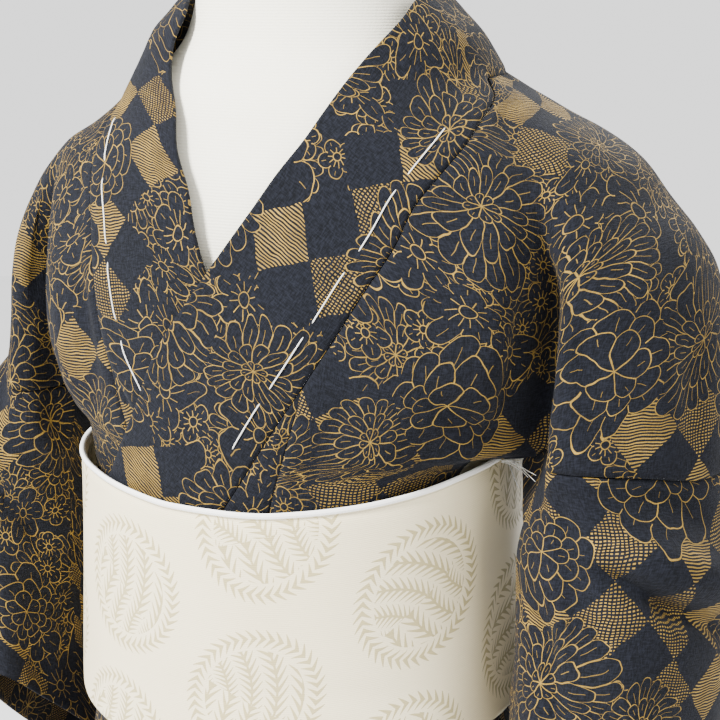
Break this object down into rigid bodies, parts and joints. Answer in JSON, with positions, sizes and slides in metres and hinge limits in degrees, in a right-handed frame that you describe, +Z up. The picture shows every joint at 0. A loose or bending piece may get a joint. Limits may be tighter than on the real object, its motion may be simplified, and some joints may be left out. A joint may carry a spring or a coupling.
{
  "type": "kimono on a limbless dress form",
  "caption": "Woman's kimono worn left over right with its wound obi belt, standing on a limbless dress form with a pole and a round base.",
  "frame": {"origin": "centre of the stand's round base, on the surface that it rests on", "axes": "+Z up; the garment's front faces -Y; the wearer's left is +X"},
  "size_m": [0.5019, 0.41, 1.4703],
  "materials": {
    "kimono_cloth": "matt woven navy cloth with fine gold drawn flowers and checks",
    "obi_cloth": "cream satin weave with round woven medallions",
    "form_cloth": "matt cream jersey",
    "wood": "satin varnish",
    "steel": "brushed"
  },
  "bodies": {
    "root": {"body_left": "kimono_cloth", "body_right": "kimono_cloth", "okumi_left": "kimono_cloth", "okumi_right": "kimono_cloth", "sleeve_left": "kimono_cloth", "sleeve_right": "kimono_cloth", "waist_fold_left": "kimono_cloth", "waist_fold_right": "kimono_cloth", "skirt_left": "kimono_cloth", "skirt_right": "kimono_cloth", "skirt_okumi_left": "kimono_cloth", "skirt_okumi_right": "kimono_cloth", "collar": "kimono_cloth", "obi": "obi_cloth", "form_torso": "form_cloth", "form_cap": "wood", "stand_pole": "steel", "stand_base": "wood"}
  },
  "joints": []
}
